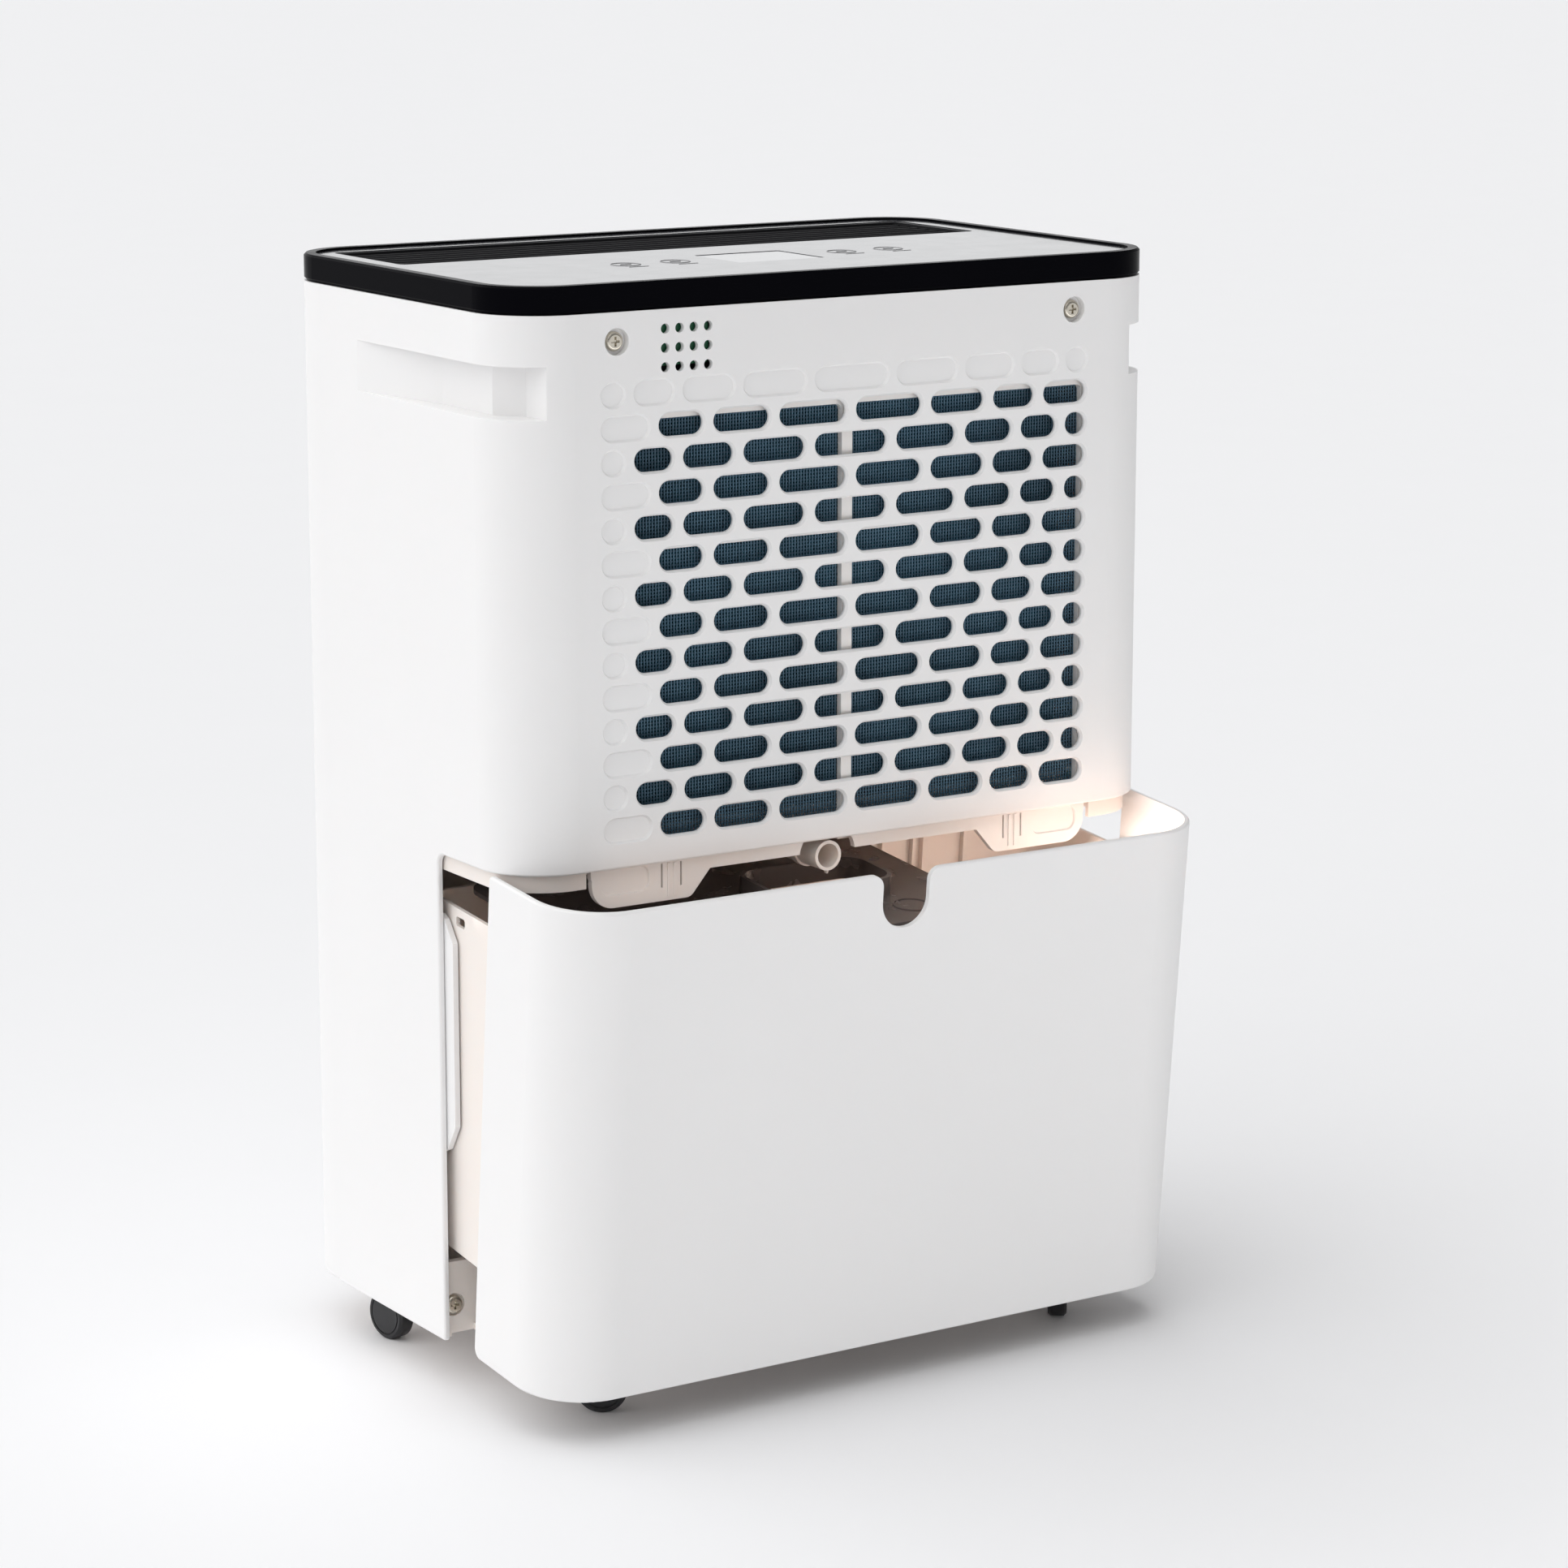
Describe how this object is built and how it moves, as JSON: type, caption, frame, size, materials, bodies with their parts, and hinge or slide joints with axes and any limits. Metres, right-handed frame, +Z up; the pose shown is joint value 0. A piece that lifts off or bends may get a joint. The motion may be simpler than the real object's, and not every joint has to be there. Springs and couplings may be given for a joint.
{
  "type": "dehumidifier",
  "caption": "Upright compressor dehumidifier with a rear intake grille, a tip-out water tank, top outlet louvres and swivel casters.",
  "frame": {"origin": "on the floor, under the middle of the footprint with the tank tipped out as it rests", "axes": "+Z up, +Y towards the tank and intake grille, +X towards the left-hand side as one faces the tank"},
  "size_m": [0.35, 0.2609, 0.5125],
  "materials": {
    "white_shell": "fine satin moulded white ABS",
    "black_gloss": "high-gloss black",
    "panel_gloss": "gloss dark touch panel",
    "display": "smoked translucent window",
    "black_matte": "satin black",
    "cream_plastic": "warm white moulded plastic",
    "filter_white": "satin warm white",
    "smoke_plastic": "smoke-grey translucent",
    "mesh_blue": "dark blue woven nylon",
    "blue_fins": "fins with a blue water-shedding coat",
    "coil_metal": "bare fins with copper tube",
    "black_steel": "black enamel",
    "copper": "drawn copper",
    "rubber": "matte black",
    "grey_plastic": "mid grey moulded plastic",
    "motor_steel": "zinc-plated",
    "steel": "ground steel",
    "board_green": "green circuit board",
    "screw_steel": "nickel-plated",
    "foam_white": "closed-cell foam",
    "caster_black": "satin black nylon"
  },
  "bodies": {
    "housing": {"accumulator": "copper", "base_pan": "cream_plastic", "base_screws": "screw_steel", "bay_wall": "cream_plastic", "compressor": "black_steel", "compressor_feet": "rubber", "condenser": "coil_metal", "control_box": "grey_plastic", "control_panel": "panel_gloss", "deck": "cream_plastic", "discharge_pipe": "copper", "display_board": "board_green", "display_window": "display", "drain_spout": "cream_plastic", "drip_tray": "cream_plastic", "evaporator": "blue_fins", "fan_motor": "motor_steel", "fan_scroll": "grey_plastic", "filter_guides": "cream_plastic", "front_cover": "white_shell", "humidity_sensor": "board_green", "mains_inlet": "rubber", "outlet_louvres": "black_matte", "rear_cover": "white_shell", "reed_switch": "grey_plastic", "run_capacitor": "grey_plastic", "suction_pipe": "copper", "top_frame": "black_gloss", "upper_screws": "screw_steel"},
    "filter": {"filter_frame": "filter_white", "filter_mesh": "mesh_blue"},
    "tank": {"tank_cover": "white_shell", "tank_bucket": "cream_plastic", "tank_lid": "smoke_plastic", "float_pin": "steel"},
    "float": {"tank_float": "foam_white", "float_magnet": "motor_steel"},
    "fan": {"impeller": "grey_plastic", "fan_shaft": "steel"},
    "caster_front_left": {"caster_fork_front_left": "caster_black", "caster_axle_front_left": "steel"},
    "wheel_front_left": {"caster_wheel_front_left": "caster_black"},
    "caster_rear_left": {"caster_fork_rear_left": "caster_black", "caster_axle_rear_left": "steel"},
    "wheel_rear_left": {"caster_wheel_rear_left": "caster_black"},
    "caster_front_right": {"caster_fork_front_right": "caster_black", "caster_axle_front_right": "steel"},
    "wheel_front_right": {"caster_wheel_front_right": "caster_black"},
    "caster_rear_right": {"caster_fork_rear_right": "caster_black", "caster_axle_rear_right": "steel"},
    "wheel_rear_right": {"caster_wheel_rear_right": "caster_black"}
  },
  "joints": [
    {"name": "caster_swivel_front_left", "type": "hinge", "parent": "housing", "child": "caster_front_left", "pos_m": [0.16, -0.07805, 0.03], "axis": [0, 0, 1], "continuous": true},
    {"name": "wheel_spin_front_left", "type": "hinge", "parent": "caster_front_left", "child": "wheel_front_left", "pos_m": [0.15834, -0.07022, 0.012], "axis": [0.9781, 0.2079, 0], "continuous": true},
    {"name": "caster_swivel_rear_left", "type": "hinge", "parent": "housing", "child": "caster_rear_left", "pos_m": [0.1325, 0.06695, 0.03], "axis": [0, 0, 1], "continuous": true},
    {"name": "wheel_spin_rear_left", "type": "hinge", "parent": "caster_rear_left", "child": "wheel_rear_left", "pos_m": [0.12579, 0.07131, 0.012], "axis": [0.5446, 0.8387, 0], "continuous": true},
    {"name": "caster_swivel_front_right", "type": "hinge", "parent": "housing", "child": "caster_front_right", "pos_m": [-0.16, -0.07805, 0.03], "axis": [0, 0, 1], "continuous": true},
    {"name": "wheel_spin_front_right", "type": "hinge", "parent": "caster_front_right", "child": "wheel_front_right", "pos_m": [-0.15726, -0.07053, 0.012], "axis": [0.9397, -0.342, 0], "continuous": true},
    {"name": "caster_swivel_rear_right", "type": "hinge", "parent": "housing", "child": "caster_rear_right", "pos_m": [-0.1325, 0.06695, 0.03], "axis": [0, 0, 1], "continuous": true},
    {"name": "wheel_spin_rear_right", "type": "hinge", "parent": "caster_rear_right", "child": "wheel_rear_right", "pos_m": [-0.12791, 0.0735, 0.012], "axis": [0.8192, -0.5736, 0], "continuous": true},
    {"name": "tank_tip_out", "type": "hinge", "parent": "housing", "child": "tank", "pos_m": [0, 0.03686, -0.27769], "axis": [-1, 0, 0], "range_deg": [-5, 3]},
    {"name": "float_swing", "type": "hinge", "parent": "tank", "child": "float", "pos_m": [0.11, -0.00176, 0.20922], "axis": [1, 0, 0], "range_deg": [0, 22]},
    {"name": "filter_slide", "type": "slide", "parent": "housing", "child": "filter", "axis": [0, 0, -1], "range_m": [0, 0.006]},
    {"name": "fan_spin", "type": "hinge", "parent": "housing", "child": "fan", "pos_m": [0.062, -0.05705, 0.352], "axis": [0, 1, 0], "continuous": true}
  ]
}
